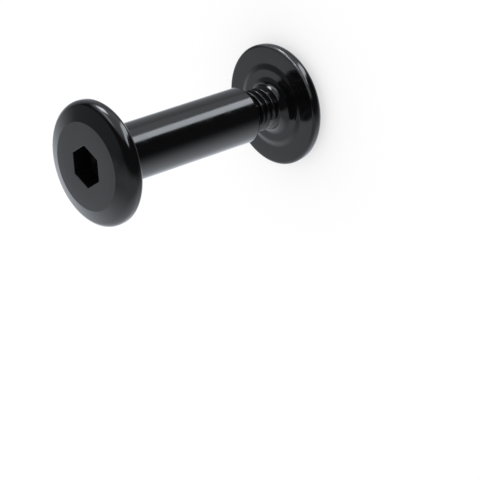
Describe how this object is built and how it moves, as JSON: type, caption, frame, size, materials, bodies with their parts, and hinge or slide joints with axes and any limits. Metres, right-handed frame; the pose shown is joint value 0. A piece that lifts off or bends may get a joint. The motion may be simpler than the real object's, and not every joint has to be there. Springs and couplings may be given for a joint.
{
  "type": "furniture connector bolt",
  "caption": "Furniture connector: a bolt with a wide bevelled hex-socket head screws into a sleeve nut with a matching head, to clamp panels face to face.",
  "frame": {"origin": "on the axis, at the outer face of the bolt's head, on which the connector stands", "axes": "+Z along the axis, from the bolt's head towards the sleeve nut's head"},
  "size_m": [0.017, 0.017, 0.035],
  "materials": {
    "black_coated_steel": "gloss black coat on steel"
  },
  "bodies": {
    "bolt": {"bolt": "black_coated_steel"},
    "sleeve_nut": {"sleeve_nut": "black_coated_steel"}
  },
  "joints": [
    {"name": "screw_travel", "type": "slide", "parent": "bolt", "child": "sleeve_nut", "axis": [0, 0, 1], "range_m": [-0.0035, 0.0115]}
  ]
}
